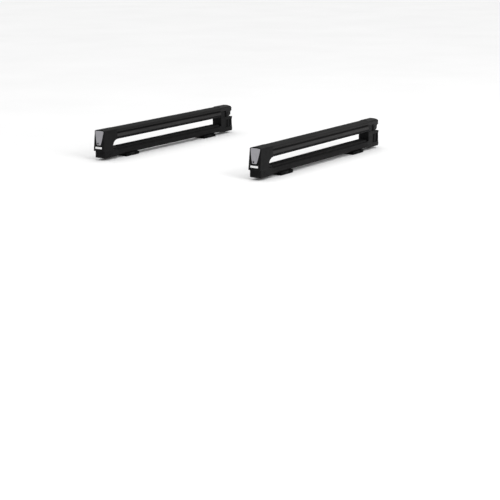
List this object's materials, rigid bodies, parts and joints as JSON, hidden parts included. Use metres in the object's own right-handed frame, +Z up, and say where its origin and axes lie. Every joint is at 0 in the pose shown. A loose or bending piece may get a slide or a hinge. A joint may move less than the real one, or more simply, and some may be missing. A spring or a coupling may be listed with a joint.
{
  "type": "roof ski rack",
  "caption": "Pair of lockable roof ski carriers: each a hinged rubber-lined arm over a rubber-lined rail on clamping feet, opened by a large push button.",
  "frame": {"origin": "midway between the two carriers and midway along them, on the plane under the foot pads", "axes": "+X from the rear carrier to the front carrier, along the vehicle; +Y along each carrier from its push button to its hinge, across the vehicle; +Z up"},
  "size_m": [0.8124, 0.8699, 0.124],
  "materials": {
    "black_plastic": "fine moulded grain, satin black",
    "black_anodised": "satin black anodised extrusion with fine lengthwise die lines",
    "black_rubber": "dull ribbed black rubber",
    "grey_plastic": "satin light grey moulded plastic",
    "white_plate": "smooth white blank plate",
    "steel": "zinc-plated steel",
    "dark_steel": "blackened steel"
  },
  "bodies": {
    "root": {"front_lower_rail": "black_anodised", "front_lower_rubber": "black_rubber", "front_near_end_block": "black_plastic", "front_striker_plate": "steel", "front_hinge_post": "black_plastic", "front_near_foot": "black_plastic", "front_far_foot": "black_plastic", "front_near_foot_pad": "black_rubber", "front_far_foot_pad": "black_rubber", "front_end_block_screw": "dark_steel", "front_hinge_post_screw": "dark_steel", "rear_lower_rail": "black_anodised", "rear_lower_rubber": "black_rubber", "rear_near_end_block": "black_plastic", "rear_striker_plate": "steel", "rear_hinge_post": "black_plastic", "rear_near_foot": "black_plastic", "rear_far_foot": "black_plastic", "rear_near_foot_pad": "black_rubber", "rear_far_foot_pad": "black_rubber", "rear_end_block_screw": "dark_steel", "rear_hinge_post_screw": "dark_steel"},
    "front_arm": {"front_upper_arm": "black_anodised", "front_upper_rubber": "black_rubber", "front_arm_end_cap": "black_plastic", "front_button_spring": "steel", "front_latch_pin": "steel", "front_badge_plate": "white_plate", "front_hinge_cap": "black_plastic", "front_hinge_pin": "steel", "front_end_cap_screw": "dark_steel", "front_hinge_cap_screw": "dark_steel"},
    "front_button": {"front_push_button": "grey_plastic"},
    "front_latch": {"front_latch_hook": "steel"},
    "front_lock": {"front_lock_cylinder": "dark_steel"},
    "front_near_wheel": {"front_near_clamp_wheel": "black_plastic"},
    "front_near_bolt": {"front_near_t_bolt": "steel"},
    "front_far_wheel": {"front_far_clamp_wheel": "black_plastic"},
    "front_far_bolt": {"front_far_t_bolt": "steel"},
    "rear_arm": {"rear_upper_arm": "black_anodised", "rear_upper_rubber": "black_rubber", "rear_arm_end_cap": "black_plastic", "rear_button_spring": "steel", "rear_latch_pin": "steel", "rear_badge_plate": "white_plate", "rear_hinge_cap": "black_plastic", "rear_hinge_pin": "steel", "rear_end_cap_screw": "dark_steel", "rear_hinge_cap_screw": "dark_steel"},
    "rear_button": {"rear_push_button": "grey_plastic"},
    "rear_latch": {"rear_latch_hook": "steel"},
    "rear_lock": {"rear_lock_cylinder": "dark_steel"},
    "rear_near_wheel": {"rear_near_clamp_wheel": "black_plastic"},
    "rear_near_bolt": {"rear_near_t_bolt": "steel"},
    "rear_far_wheel": {"rear_far_clamp_wheel": "black_plastic"},
    "rear_far_bolt": {"rear_far_t_bolt": "steel"}
  },
  "joints": [
    {"name": "front_arm_hinge", "type": "hinge", "parent": "root", "child": "front_arm", "pos_m": [0.375, 0.412, 0.103], "axis": [-1, 0, 0], "range_deg": [0, 95]},
    {"name": "front_button_press", "type": "slide", "parent": "front_arm", "child": "front_button", "axis": [0, 1, 0], "range_m": [0, 0.006], "stiffness_N_per_m": 800, "springref_m": -0.004, "deforming": ["front_button_spring"]},
    {"name": "front_latch_turn", "type": "hinge", "parent": "front_arm", "child": "front_latch", "pos_m": [0.375, -0.398, 0.068], "axis": [-1, 0, 0], "range_deg": [0, 11.6]},
    {"name": "front_lock_turn", "type": "hinge", "parent": "front_button", "child": "front_lock", "pos_m": [0.3712, -0.42, 0.0675], "axis": [0, 1, 0], "range_deg": [0, 90]},
    {"name": "front_near_wheel_turn", "type": "hinge", "parent": "root", "child": "front_near_wheel", "pos_m": [0.375, -0.261, 0.008], "axis": [0, 0, 1], "range_deg": [0, 2160]},
    {"name": "front_near_bolt_drop", "type": "slide", "parent": "root", "child": "front_near_bolt", "axis": [0, 0, -1], "range_m": [0, 0.0061]},
    {"name": "front_far_wheel_turn", "type": "hinge", "parent": "root", "child": "front_far_wheel", "pos_m": [0.375, 0.261, 0.008], "axis": [0, 0, 1], "range_deg": [0, 2160]},
    {"name": "front_far_bolt_drop", "type": "slide", "parent": "root", "child": "front_far_bolt", "axis": [0, 0, -1], "range_m": [0, 0.0061]},
    {"name": "rear_arm_hinge", "type": "hinge", "parent": "root", "child": "rear_arm", "pos_m": [-0.375, 0.412, 0.103], "axis": [-1, 0, 0], "range_deg": [0, 95]},
    {"name": "rear_button_press", "type": "slide", "parent": "rear_arm", "child": "rear_button", "axis": [0, 1, 0], "range_m": [0, 0.006], "stiffness_N_per_m": 800, "springref_m": -0.004, "deforming": ["rear_button_spring"]},
    {"name": "rear_latch_turn", "type": "hinge", "parent": "rear_arm", "child": "rear_latch", "pos_m": [-0.375, -0.398, 0.068], "axis": [-1, 0, 0], "range_deg": [0, 11.6]},
    {"name": "rear_lock_turn", "type": "hinge", "parent": "rear_button", "child": "rear_lock", "pos_m": [-0.3788, -0.42, 0.0675], "axis": [0, 1, 0], "range_deg": [0, 90]},
    {"name": "rear_near_wheel_turn", "type": "hinge", "parent": "root", "child": "rear_near_wheel", "pos_m": [-0.375, -0.261, 0.008], "axis": [0, 0, 1], "range_deg": [0, 2160]},
    {"name": "rear_near_bolt_drop", "type": "slide", "parent": "root", "child": "rear_near_bolt", "axis": [0, 0, -1], "range_m": [0, 0.0061]},
    {"name": "rear_far_wheel_turn", "type": "hinge", "parent": "root", "child": "rear_far_wheel", "pos_m": [-0.375, 0.261, 0.008], "axis": [0, 0, 1], "range_deg": [0, 2160]},
    {"name": "rear_far_bolt_drop", "type": "slide", "parent": "root", "child": "rear_far_bolt", "axis": [0, 0, -1], "range_m": [0, 0.0061]}
  ],
  "couplings": [
    {"joint": "front_latch_turn", "follows": "front_button_press", "rad_per_m": 33.333},
    {"joint": "front_near_bolt_drop", "follows": "front_near_wheel_turn", "m_per_rad": 0.00015915},
    {"joint": "front_far_bolt_drop", "follows": "front_far_wheel_turn", "m_per_rad": 0.00015915},
    {"joint": "rear_latch_turn", "follows": "rear_button_press", "rad_per_m": 33.333},
    {"joint": "rear_near_bolt_drop", "follows": "rear_near_wheel_turn", "m_per_rad": 0.00015915},
    {"joint": "rear_far_bolt_drop", "follows": "rear_far_wheel_turn", "m_per_rad": 0.00015915}
  ]
}
